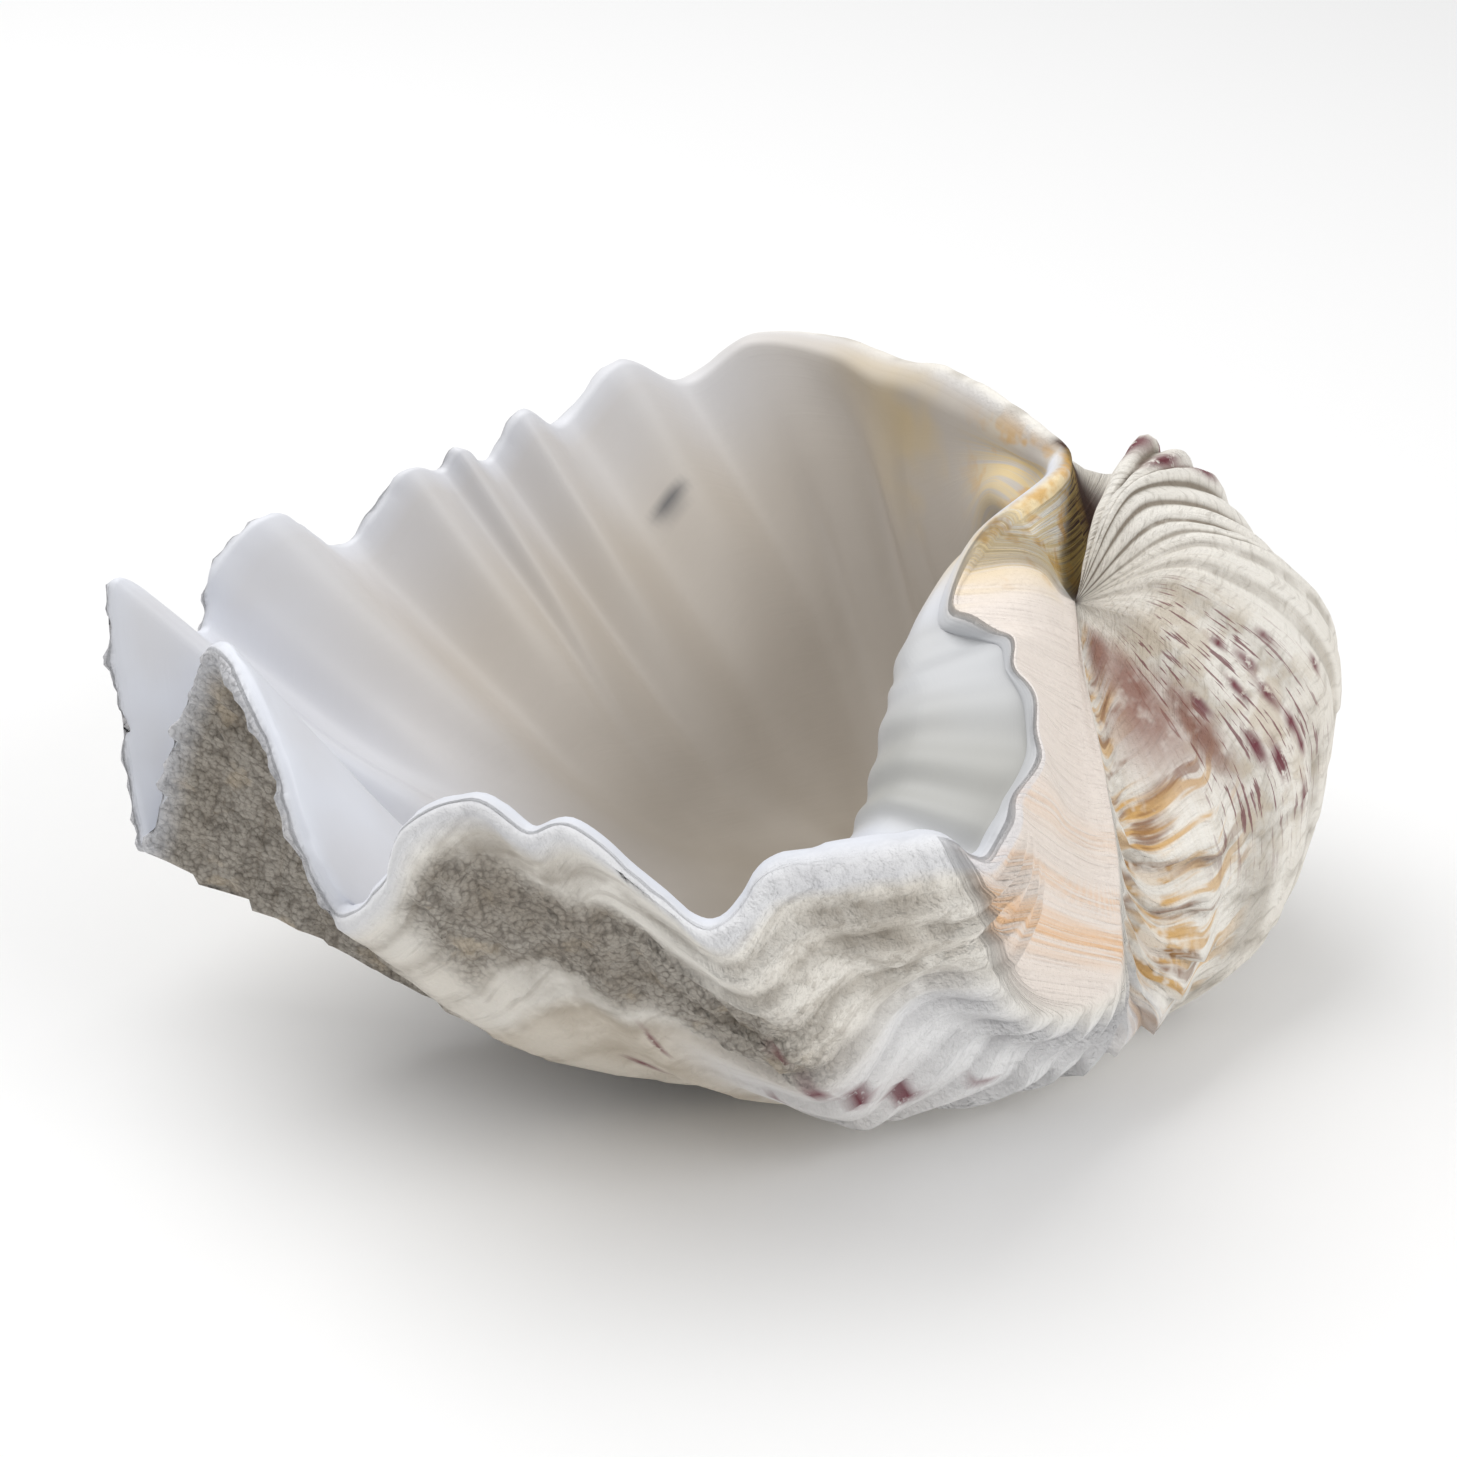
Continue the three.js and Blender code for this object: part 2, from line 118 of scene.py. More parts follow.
# The ribs, by the places of their crests. The broad ones near the beak split in two between these shares.
RIB_CRESTS = (8, 12, 19, 24, 27, 30, 32, 34, 36, 38, 39.4, 40.6, 41.8, 42.8, 43.7)
CRESTS_NEAR_BEAK = (8, 12, 19, 24, 27, 30, 33, 36, 38.7, 40.8, 42.4, 43.7)
RIBS_SPLIT = (0.4, 0.65)
FURROW_SHARPNESS = 1.6
RIBBED_PLACES = (7.2, 9.5, 43.2, 44.6)
RIB_HEIGHT_AT_BEAK = 0.6
RIB_SHARE_IN_SLIT = 0.2
RIB_SHARE_INSIDE = 0.2
RIBS_SHOW_INSIDE = (0.6, 1)

# A rib is lower where there are fewer millimetres than this to a place, from half a place before it to half after.
RIB_ROOM = 12
HALF_PLACE = 0.5

# Growth ledges, by the age at which each ends. Age is the share of the way to the rim, along wandering growth lines.
LEDGE_START = 0.3
LEDGE_ENDS = (
    0.36, 0.41, 0.46, 0.505, 0.55, 0.6, 0.64, 0.68, 0.72, 0.765, 0.8, 0.845, 0.88, 0.915, 0.95, 0.975,
)
LEDGE_RUN = 0.004
# Painted shade: a dark line just past the foot of each step, given by how far past its end it lies and how wide it is.
LEDGE_SHADE_PAST_END = 0.006
LEDGE_SHADE_WIDTH = 0.005
LEDGED_PLACES = (8.7, 9.6, 42, 43.5)

# Every second ledge is smaller. All are lower round the back and on the near lobe, and higher on the knuckle.
SMALLER_LEDGE = 0.55
BACK_PLACES = (13, 20)
BACK_LEDGE = 0.6
NEAR_LOBE_PLACES = (13, 14, 18, 20)
NEAR_LOBE_LEDGE = 0.3
KNUCKLE_PLACES = (7, 7.8, 12, 14)
KNUCKLE_AGES = (0.86, 0.9)
KNUCKLE_LEDGE = 1.7

# How far growth lines wander, how fast that changes with age, and the waves in it: number round the rim, shift, size.
LINES_WANDER = 0.007
WANDER_CHANGES = 5
WANDERING_PLACES = (7, 8, 12, 14)
WANDER_WAVES = ((5, 1, 1), (13, 2.3, 1), (29, 4.1, 0.7))

# The swollen knuckle beside the lunule, and the share at which it starts at each place.
SWELL_STARTS = ((7, 1), (8, 0.955), (9, 0.91), (11, 0.84), (12, 0.78), (13, 0.72))
SWOLLEN_PLACES = (7, 9, 11.6, 13.2)
SWELL_HEIGHT = 6
SWELL_RUN = 0.06

# The flap beside the lunule has scallops on its edge and shallow folds inside.
SCALLOPED_PLACES = (2.8, 3.6, 7, 7.8)
SCALLOP_FIRST = 3.4
SCALLOP_HEIGHT = 0.8
FLAP_FOLD = 0.6

# From this share on, the skin is folded towards the rim.
FOLD_START = 0.55
FOLD_POWER = 2.2

# The wall's thickness at the rim by place, and what it gains before these shares.
RIM_WALL = {0: 7, 2: 7, 5: 2.8, 7: 4.5, 9: 9, 11: 8, 12: 6, 16: 5, 19: 5, 24: 4, 29: 4.5, 35: 5, 39: 7, 42: 10, 44: 6}
EXTRA_WALL = 6
EXTRA_WALL_ENDS = (0.5, 0.95)

# Where the inner skin comes to follow the outer one, later at the flap and the knuckle.
INNER_SHARE = 0.33
FOLLOWING_PLACES = (2.4, 4.4, 40.5, 42.5)
FOLLOWS_FROM = 0.35
FOLLOWS_FULLY = 0.85
LATER_PLACES = (1, 3, 10, 16)
LATER_BY = (0.4, 0.15)

# The lip runs on the way that the outer and the inner skin do between these shares and the rim.
LIP_ROUNDING = 0.7
OUTER_SHORT_OF_RIM = 0.97
INNER_SHORT_OF_RIM = 0.94
LIP_TURNS_INSIDE = (0.3, 0.7)

# The walls of the fins stand nearly square to their own folded skin.
FIN_PLACES = (13, 14.5, 20, 22)
FIN_STARTS = (0.74, 0.9)
FIN_LEAN = 0.8
FIN_STEP_OF_PLACE = 0.4
FIN_STEP_OF_SHARE = 0.02

# The growth bands of the lunule lie square to its keel.
KEEL_DIRECTION = (0.11, -0.73, -0.68)
KEEL_LENGTH = 110

# Soft peach bands across the lunule: millimetres down the keel, width and strength.
LUNULE_BANDS = ((50, 2.5, 0.35), (61.5, 1.2, 0.7), (69.5, 3.2, 1))

# Spots, each as place, share, places wide and shares long. A spot fades between these parts of its size.
SPOT_FADES = (0.2, 1.4)
FLECKS = (
    (19.7, 0.214, 0.4, 0.01), (20.1, 0.243, 0.5, 0.012), (19.6, 0.269, 0.5, 0.014), (19.8, 0.301, 0.5, 0.012),
    (16.8, 0.291, 0.5, 0.02), (19.9, 0.32, 0.4, 0.012), (17.8, 0.316, 0.5, 0.02), (19.2, 0.357, 0.3, 0.01),
    (18.2, 0.25, 0.4, 0.014), (15.5, 0.24, 0.4, 0.012), (22.5, 0.25, 0.4, 0.008), (24, 0.3, 0.4, 0.008),
    (43.7, 0.32, 0.5, 0.035), (42.3, 0.27, 0.7, 0.03), (41.1, 0.3, 0.7, 0.025), (43.1, 0.4, 0.5, 0.03),
    (16.3, 0.828, 0.16, 0.012), (14.7, 0.875, 0.1, 0.01), (12.1, 0.871, 0.16, 0.013), (11.8, 0.844, 0.15, 0.013),
    (11.75, 0.8, 0.14, 0.012), (11.35, 0.758, 0.1, 0.01), (12.2, 0.909, 0.1, 0.009), (13, 0.84, 0.1, 0.008),
)
FLANK_PATCHES = ((12.2, 0.2, 1.6, 0.09), (14.2, 0.25, 1.4, 0.06), (11.4, 0.12, 1.2, 0.06))
INSIDE_MARKS = ((36.6, 0.845, 0.32, 0.013),)

# Where a finish lies: its side, its places and its shares. It rises between the first two and falls between the others.
START, END = (-2, -1), (98, 99)
EVERYWHERE = START + END
ZONES = {
    # The bowl's floor takes the darker deep colour, which is partly its own warmer tone and partly painted shade in the
    # hollow.
    "floor": ("inside", EVERYWHERE, (*START, 0.25, 0.8)),
    "far_wall": ("inside", (25, 31, 45, 46), EVERYWHERE),
    "flap": ("inside", (2.4, 3.4, 7.2, 8.8), (0.45, 0.7, *END)),
    "lunule": ("outside", (1.6, 2.6, 8.6, 9.1), EVERYWHERE),
    "keel": ("outside", (8.6, 8.85, 8.95, 9.2), (*START, 0.55, 0.7)),
    "stain": ("outside", (9.0, 9.2, 10.9, 11.9), (0.03, 0.08, 0.5, 0.62)),
    "stripes": ("outside", (9.5, 10.5, 12.5, 15.5), (0.22, 0.28, 0.5, 0.62)),
    "speckle": ("outside", (11.5, 13.5, 21, 25), (0.1, 0.16, 0.34, 0.42)),
    "flank": ("outside", (9.2, 10, 30, 36), (*START, 0.3, 0.55)),
    "umbo_furrow": ("outside", (28, 34, 43.5, 44.5), (*START, 0.5, 0.7)),
    "furrow": ("outside", (9, 10, 43.5, 44.5), EVERYWHERE),
    "cream": ("outside", (11, 12.5, 19, 22), (0.7, 0.76, 0.88, 0.895)),
    "knuckle": ("outside", (7.2, 8.2, 11.5, 12.6), (0.86, 0.92, *END)),
    "terrace": ("outside", (8.8, 9.6, 13, 15), (0.5, 0.58, 0.86, 0.9)),
}

# Areas that other zones are put together from.
AREAS = {
    "inner_hinge": ("inside", (39.5, 42, *END), (0.4, 0.8, *END)),
    "inner_hinge_at_slit": ("inside", (*START, 1.5, 3), (0.4, 0.8, *END)),
    "outer_hinge": ("outside", (*START, 1.8, 3.6), (0.2, 0.5, *END)),
    "rough_fins": ("outside", (18.6, 19.4, 25, 33), (0.6, 0.8, *END)),
    "inner_edge": ("inside", (3, 9, 36, 39), (0.97, 1, *END)),
    "outer_edge": ("outside", (3, 9, 36, 39), (0.992, 1, *END)),
    "slit_far": ("outside", (44.2, 44.7, *END), EVERYWHERE),
    "slit_near": ("outside", (*START, 0.3, 0.9), EVERYWHERE),
}

# The far wall's own colour is weaker at the rim, except beside the hinge.
PALE_RIM = 0.5
PALE_RIM_SHARES = (0.8, 1)
PALE_RIM_ENDS = (38, 40.5)

# Where the lunule has bands, where the stains at the hinge start, and how the flap's grey gets stronger downwards.
BANDED_PLACES = (4, 6, 8.7, 9.1)
HINGE_RIM_PLACES = (42.5, 44)
FLAP_STRONGER = (4.5, 6.5)
FLAP_WEAKER = 0.6

# The heights of the rib wave, which runs from -1 to 1, between which the darkening in a furrow thins out.
FURROW_BELOW = (-0.6, 0.6)
UMBO_FURROW_BELOW = (-0.95, -0.3)

# The rough band on the near lobe climbs towards the rim, by this share for each place past the first.
ROUGH_CLIMB = 0.008
ROUGH_FIRST = 13
ROUGH_PLACES = (11.2, 12.4, 17.5, 18.3)
ROUGH_SHARES = (0.882, 0.894, 0.946, 0.956)

# Growth marks slant across the flank, from the first place on and over so many of them.
SLANT = 0.012
SLANT_FIRST = 9
SLANT_PLACES = 8
SLANT_ENDS = (30, 40)

# Lumps in the skin: their size in millimetres and the seed of their noise.
LUMPS = {"lumps": (9, 3.1), "grit": (3.4, 7.7), "swells": (24, 1.3), "chips": (4.5, 11.9)}

# How far each kind of lump stands out in a zone, in millimetres. The lunule is smoother than the other chalky skin.
RELIEF = (
    ("chalky", "lumps", 0.4), ("chalky", "grit", 0.2), ("rough", "grit", 1.8), ("rough", "lumps", 0.6),
    ("knuckle", "lumps", 0.5), ("knuckle", "grit", 0.6), ("inside", "swells", 0.3),
    ("edge", "lumps", 0.3), ("edge", "chips", -0.8),
)
LUNULE_SMOOTHNESS = 0.8

# The growth map's size in millimetres, and the roughness of the two kinds of skin.
RIM_LENGTH = 900
WAY_TO_RIM = 210
CHALK_ROUGHNESS = 0.78
PORCELAIN_ROUGHNESS = 0.48

# The mesh. A part of its meridians is spread evenly over the places, and the others by the length of the rim.
MERIDIANS = 540
PARALLELS = 180
OUTER_PARALLELS = 98
LIP_PARALLELS = 9
EVEN_SHARE = 0.35
RIM_SAMPLES = 1801
STEP_OF_PLACE = 0.05
STEP_OF_SHARE = 0.004

# The stage, in metres. The softboxes are given by name, place, size and power.
FLOOR_SIZE = 6
PAPER_WHITE = 0.9
PAPER_ROUGHNESS = 0.9
ROOM_LIGHT = 0.52
SOFTBOXES = (
    ("softbox above", (-0.35, 0.25, 0.9), 0.9, 6.8),
    ("softbox right", (0.8, -0.55, 0.65), 0.6, 4.5),
)
LIT_POINT = (0, 0, 0.04)

# The camera, as far off in metres as the photo's. The photo is measured in pixels, and the sensor and target in mm.
PHOTO_WIDTH = 1457
FOCAL_LENGTH = 4050
SENSOR_WIDTH = 36
CAMERA_RISE = math.radians(30)
CAMERA_WAY = 0.8
CAMERA_TARGET = (0, 0, 50)


def smooth(value, low, high):
    """0 below low, 1 above high, and smooth between them."""
    f = np.clip((value - low) / (high - low), 0, 1)
    return f * f * (3 - 2 * f)


def window(value, a, b, c, d):
    """Rises from a to b and falls from c to d."""
    return smooth(value, a, b) * (1 - smooth(value, c, d))


def weights_around(knots, place):
    """The four knots round each place, and their weights, for a closed smooth curve through uneven knots."""
    knots = np.asarray(knots, float)
    count = len(knots)
    x = np.concatenate([knots[-2:] - ROUND, knots, knots[:3] + ROUND])
    place = np.mod(place, ROUND)
    i = np.searchsorted(x, place, side="right") - 1
    before, span, after = x[i] - x[i - 1], x[i + 1] - x[i], x[i + 2] - x[i + 1]
    f = (place - x[i]) / span
    start, end = (1 + 2 * f) * (1 - f) ** 2, f * f * (3 - 2 * f)
    slope_start, slope_end = f * (1 - f) ** 2 * span, f * f * (f - 1) * span
    weights = (
        -slope_start * span / (before * (before + span)),
        start + slope_start * (span / before - before / span) / (before + span)
        - slope_end * after / (span * (span + after)),
        end + slope_start * before / (span * (before + span))
        + slope_end * (after / span - span / after) / (span + after),
        slope_end * span / (after * (span + after)),
    )
    return [((i + step - 2) % count, weight) for step, weight in zip((-1, 0, 1, 2), weights)]


def round_curve(values, place):
    """A smooth closed curve through one value, or point, for each place that values is keyed by."""
    table = np.array(list(values.values()), float)
    shape = (-1,) + (1,) * (table.ndim - 1)
    return sum(table[index] * weight.reshape(shape) for index, weight in weights_around(list(values), place))


def along(points, share):
    """A smooth curve through the points, at each share of the way along it."""
    p = np.array(points, float)
    p = np.concatenate([[2 * p[0] - p[1]], p, [2 * p[-1] - p[-2]]])
    spans = len(points) - 1
    s = np.clip(share, 0, 1) * spans
    i = np.clip(s.astype(int), 0, spans - 1)
    f = (s - i)[:, None]
    a, b, c, d = p[i], p[i + 1], p[i + 2], p[i + 3]
    return 0.5 * (2 * b + (c - a) * f + (2 * a - 5 * b + 4 * c - d) * f**2 + (3 * b - a - 3 * c + d) * f**3)


def net(lines, start, place, share):
    """The surface that runs through the lines, which all begin at start."""
    courses = np.stack([along((start,) + points, share) for points in lines.values()])
    each = np.arange(len(share))
    return sum(courses[index, each] * weight[:, None] for index, weight in weights_around(list(lines), place))


def outer_net(place, share):
    return net(OUTER_LINES, BEAK, place, share)


def outward(place, share):
    """The direction out of the shell, on the outer skin without its ribs."""
    t = np.clip(share, STEP_OF_SHARE, 1 - STEP_OF_SHARE)
    across = outer_net(place + STEP_OF_PLACE, share) - outer_net(place - STEP_OF_PLACE, share)
    growth = outer_net(place, t + STEP_OF_SHARE) - outer_net(place, t - STEP_OF_SHARE)
    normal = np.cross(growth, across)
    return normal / (np.linalg.norm(normal, axis=1, keepdims=True) + 1e-9)


def rib_wave(place, crests=RIB_CRESTS):
    """+1 on the crest of a rib and -1 midway between two."""
    place = np.mod(place, ROUND)
    crests = np.array((crests[-1] - ROUND,) + crests + (crests[0] + ROUND,))
    i = np.searchsorted(crests, place, side="right") - 1
    wave = np.cos(2 * math.pi * (place - crests[i]) / (crests[i + 1] - crests[i]))
    return 1 - 2 * ((1 - wave) / 2) ** FURROW_SHARPNESS


def split_ribs(place, share):
    """The broad ribs near the beak split in two on their way to the rim."""
    split = smooth(share, *RIBS_SPLIT)
    return rib_wave(place, CRESTS_NEAR_BEAK) * (1 - split) + rib_wave(place) * split


def rib_lift(place, share, height):
    place = np.mod(place, ROUND)
    size = window(place, *RIBBED_PLACES) * (1 - RIB_SHARE_IN_SLIT)
    size = size + RIB_SHARE_IN_SLIT * smooth(place, *RIBBED_PLACES[:2])
    growth = RIB_HEIGHT_AT_BEAK + (1 - RIB_HEIGHT_AT_BEAK) * share
    room = np.linalg.norm(outer_net(place + HALF_PLACE, share) - outer_net(place - HALF_PLACE, share), axis=1)
    return height * size * growth * np.minimum(1, room / RIB_ROOM) * split_ribs(place, share)


def waver(place, seed):
    """A slow wandering between about -1 and 1 round the rim."""
    turn = 2 * math.pi * place / ROUND
    waves = sum(size * np.sin(count * turn + shift * seed) for count, shift, size in WANDER_WAVES)
    return waves / sum(size for count, shift, size in WANDER_WAVES)


def wander(place, age):
    """The share of the way to the rim of a growth line, which wanders round the shell."""
    size = LINES_WANDER * (1 + window(np.mod(place, ROUND), *WANDERING_PLACES))
    return age + size * waver(place, WANDER_CHANGES * age) * np.sin(math.pi * age)


def ledged(place, age):
    """Where growth ledges lie: all round outside the hinge, and on the knuckle's rim beside the lunule too."""
    place = np.mod(place, ROUND)
    return np.maximum(window(place, *LEDGED_PLACES), window(place, *KNUCKLE_PLACES) * smooth(age, *KNUCKLE_AGES))


def ledge_lift(place, age, height):
    """Growth ledges: each thickens towards the rim and ends in a step."""
    ends = np.array((LEDGE_START,) + LEDGE_ENDS)
    i = np.clip(np.searchsorted(ends, age) - 1, 0, len(ends) - 2)
    rise = np.where((age > LEDGE_START) & (age <= LEDGE_ENDS[-1]), (age - ends[i]) / (ends[i + 1] - ends[i]), 0)
    place = np.mod(place, ROUND)
    size = np.where(i % 2 == 0, 1, SMALLER_LEDGE)
    size = size * (1 - (1 - BACK_LEDGE) * smooth(place, *BACK_PLACES))
    size = size * (1 - (1 - NEAR_LOBE_LEDGE) * window(place, *NEAR_LOBE_PLACES))
    size = size + KNUCKLE_LEDGE * window(place, *KNUCKLE_PLACES)
    return height * size * rise * ledged(place, age)


def ledge_foot_shade(place, age):
    """1 at the foot of each step, where a dark line of painted shade lies."""
    foot = sum(np.exp(-((age - end - LEDGE_SHADE_PAST_END) / LEDGE_SHADE_WIDTH) ** 2) for end in LEDGE_ENDS)
    return np.clip(foot, 0, 1) * ledged(place, age)


def growth_rows():
    """The rows of the outer skin: two at the step of each ledge, and the others spread evenly between them."""
    steps = np.array([age for end in LEDGE_ENDS for age in (end, end + LEDGE_RUN)])
    stops = np.concatenate([[0, LEDGE_START], steps, [1]])
    spare = OUTER_PARALLELS - (len(stops) - 1)
    gaps = np.diff(stops)
    wide = np.where(np.isclose(gaps, LEDGE_RUN), 0, gaps)
    extra = np.floor(wide / wide.sum() * spare).astype(int)
    extra[0] += spare - extra.sum()
    rows = [np.linspace(low, high, more + 2)[:-1] for low, high, more in zip(stops[:-1], stops[1:], extra)]
    return np.concatenate(rows + [[1]])


def swell_lift(place, share):
    place = np.mod(place, ROUND)
    starts, shares = zip(*SWELL_STARTS)
    start = np.interp(place, starts, shares)
    return SWELL_HEIGHT * window(place, *SWOLLEN_PLACES) * smooth(share, start, start + SWELL_RUN)


def scallop_lift(place, share):
    place = np.mod(place, ROUND)
    wave = np.cos(2 * math.pi * (place - SCALLOP_FIRST))
    return SCALLOP_HEIGHT * window(place, *SCALLOPED_PLACES) * wave * smooth(share, FOLD_START, 1)


def fold_at_rim(place, height):
    """What is missing between the ribbed skin and the real rim, which has lobes, fins and dips."""
    one = np.ones_like(place)
    lift = rib_lift(place, one, height) + swell_lift(place, one)
    end = outer_net(place, one) + outward(place, one) * lift[:, None]
    return round_curve(dict(enumerate(RIM)), place) - end


def fold_reach(share):
    return np.clip((share - FOLD_START) / (1 - FOLD_START), 0, 1) ** FOLD_POWER


def folded(place, share, height, lift=0):
    """The outer skin with its ribs and folds, raised by lift."""
    lift = lift + rib_lift(place, share, height) + swell_lift(place, share) + scallop_lift(place, share)
    fold = fold_at_rim(place, height) * fold_reach(share)[:, None]
    return outer_net(place, share) + outward(place, share) * lift[:, None] + fold


def outer_points(place, age, shape):
    return folded(place, wander(place, age), shape.rib_height / MM, ledge_lift(place, age, shape.ledge_height / MM))


def through_wall(place, share, height):
    """The way through the wall: out of the unribbed skin, and on the fins nearly square to their folded skin."""
    t = np.clip(share, FIN_STEP_OF_SHARE, 1 - FIN_STEP_OF_SHARE)
    across = folded(place + FIN_STEP_OF_PLACE, share, height) - folded(place - FIN_STEP_OF_PLACE, share, height)
    growth = folded(place, t + FIN_STEP_OF_SHARE, height) - folded(place, t - FIN_STEP_OF_SHARE, height)
    square = np.cross(growth, across)
    square /= np.linalg.norm(square, axis=1, keepdims=True) + 1e-9
    lean = (FIN_LEAN * window(np.mod(place, ROUND), *FIN_PLACES) * smooth(share, *FIN_STARTS))[:, None]
    mixed = outward(place, share) * (1 - lean) + square * lean
    return mixed / (np.linalg.norm(mixed, axis=1, keepdims=True) + 1e-9)


def inner_points(place, share, shape):
    """Near the rim it follows the outer skin a wall's thickness in. Deeper it has its own shape."""
    height = shape.rib_height / MM
    outer_share = 1 - (1 - share) * INNER_SHARE
    ribs = RIB_SHARE_INSIDE + (1 - RIB_SHARE_INSIDE) * smooth(share, *RIBS_SHOW_INSIDE)
    wall = round_curve(RIM_WALL, place) + EXTRA_WALL * (1 - smooth(share, *EXTRA_WALL_ENDS))
    lift = (rib_lift(place, outer_share, height) + swell_lift(place, outer_share)) * ribs
    lift += scallop_lift(place, outer_share)
    follows = outer_net(place, outer_share) + outward(place, outer_share) * lift[:, None]
    follows += fold_at_rim(place, height) * fold_reach(outer_share)[:, None]
    follows -= through_wall(place, outer_share, height) * wall[:, None]
    later = window(place, *LATER_PLACES)
    near = smooth(share, FOLLOWS_FROM + LATER_BY[0] * later, FOLLOWS_FULLY + LATER_BY[1] * later)
    blend = (window(place, *FOLLOWING_PLACES) * near)[:, None]
    return net(INNER_LINES, HOLLOW_BACK, place, share) * (1 - blend) + follows * blend


def lip_points(place, angle, shape):
    """Rows round the edge of the rim, from the outer skin at angle 0 to the inner one at pi."""
    one = np.ones_like(place)
    outside, inside = outer_points(place, one, shape), inner_points(place, one, shape)
    growth = outside - outer_points(place, one * OUTER_SHORT_OF_RIM, shape)
    growth_inside = inside - inner_points(place, one * INNER_SHORT_OF_RIM, shape)
    growth /= np.linalg.norm(growth, axis=1, keepdims=True)
    growth += growth_inside / np.linalg.norm(growth_inside, axis=1, keepdims=True)
    growth /= np.linalg.norm(growth, axis=1, keepdims=True)
    middle = (outside + inside) / 2
    half = outside - middle
    reach = np.linalg.norm(half, axis=1, keepdims=True) * LIP_ROUNDING * np.sin(angle)[:, None]
    return middle + half * np.cos(angle)[:, None] + growth * reach


def noise_at(points, size, seed):
    """Smooth noise between about -1 and 1, with lumps of this size in millimetres."""
    moved = points / size + seed
    return np.array([noise.noise(Vector(point)) for point in moved])


def place_of_turn(turn):
    """Shares the meridians out round the rim, by its length and in part evenly by place."""
    place = np.linspace(0, ROUND, RIM_SAMPLES)
    rim = round_curve(dict(enumerate(RIM)), place)
    length = np.linalg.norm(np.diff(rim, axis=0), axis=1)
    share = length / length.sum() + EVEN_SHARE / len(length)
    total = np.concatenate([[0], np.cumsum(share)])
    return np.interp(turn, total / total[-1], place)


def seam_coordinates(mesh, place, age):
    """The growth map: round the rim to the right, from the beak to the rim upwards."""
    layer = mesh.uv_layers.new(name="growth")
    vertex = np.empty(len(mesh.loops), int)
    mesh.loops.foreach_get("vertex_index", vertex)
    start = np.empty(len(mesh.polygons), int)
    size = np.empty(len(mesh.polygons), int)
    mesh.polygons.foreach_get("loop_start", start)
    mesh.polygons.foreach_get("loop_total", size)
    face = np.repeat(np.arange(len(start)), size)
    across = place[vertex] / ROUND
    highest = np.zeros(len(start))
    np.maximum.at(highest, face, across)
    across = np.where(across < highest[face] - 0.5, across + 1, across)
    layer.data.foreach_set("uv", np.stack([across, age[vertex]], 1).astype(np.float32).ravel())


def paint(mesh, name, values):
    layer = mesh.attributes.new(name=name, type="FLOAT", domain="POINT")
    layer.data.foreach_set("value", values.astype(np.float32))


def blobs(place, share, spots):
    """1 in the middle of each spot, (place, share, places wide, shares long), and 0 outside it."""
    mask = np.zeros_like(share)
    for at, height, wide, long in spots:
        off = (np.mod(place - at + ROUND / 2, ROUND) - ROUND / 2) / wide
        mask = np.maximum(mask, 1 - smooth(np.hypot(off, (share - height) / long), *SPOT_FADES))
    return mask


def areas(table, place, share, sides):
    """1 in the middle of each area of the table, and 0 outside it."""
    return {
        name: sides[side] * window(place, *places) * window(share, *shares)
        for name, (side, places, shares) in table.items()
    }


def zones(place, share, inside, points):
    """Where each finish lies, from 0 to 1 on each point of the skin, and the age for the growth map."""
    sides = {"inside": inside, "outside": 1 - inside}
    outside = sides["outside"]
    zone = {**sides, **areas(ZONES, place, share, sides)}
    area = areas(AREAS, place, share, sides)
    wave = split_ribs(place, share)
    down_keel = (points - np.array(BEAK)) @ np.array(KEEL_DIRECTION)
    bands = sum(strength * np.exp(-((down_keel - at) / wide) ** 2) for at, wide, strength in LUNULE_BANDS)
    climbing = share - ROUGH_CLIMB * (place - ROUGH_FIRST)
    rough_band = outside * window(place, *ROUGH_PLACES) * window(climbing, *ROUGH_SHARES)
    inner_hinge = np.maximum(area["inner_hinge"], area["inner_hinge_at_slit"])
    slanted = share + SLANT * np.clip(place - SLANT_FIRST, 0, SLANT_PLACES) * (1 - smooth(place, *SLANT_ENDS))
    along_keel = np.clip(down_keel / KEEL_LENGTH, 0, 1)
    outer_age = slanted * (1 - zone["lunule"]) + along_keel * zone["lunule"]

    zone["far_wall"] *= 1 - PALE_RIM * smooth(share, *PALE_RIM_SHARES) * (1 - smooth(place, *PALE_RIM_ENDS))
    zone["flap"] *= FLAP_WEAKER + (1 - FLAP_WEAKER) * smooth(place, *FLAP_STRONGER)
    zone["umbo_furrow"] *= 1 - smooth(wave, *UMBO_FURROW_BELOW)
    zone["furrow"] *= 1 - smooth(wave, *FURROW_BELOW)
    return zone | {
        "glossy": inside * (1 - inner_hinge),
        "bands": zone["lunule"] * np.clip(bands, 0, 1) * window(place, *BANDED_PLACES),
        "hinge": np.maximum(inner_hinge, area["outer_hinge"]),
        "hinge_rim": np.maximum(inner_hinge * smooth(place, *HINGE_RIM_PLACES), area["outer_hinge"]),
        "rough": np.maximum(rough_band, area["rough_fins"]),
        "edge": area["inner_edge"] + area["outer_edge"],
        "slit": np.maximum(area["slit_far"], area["slit_near"]),
        # The foot of each growth step, where a line of painted shade goes.
        "ledge_foot_shade": outside * ledge_foot_shade(place, share),
        "patch": outside * blobs(place, share, FLANK_PATCHES),
        "flecks": outside * blobs(place, share, FLECKS),
        "mark": inside * blobs(place, share, INSIDE_MARKS),
        "age": np.where(outside > 0.5, outer_age, share),
    }


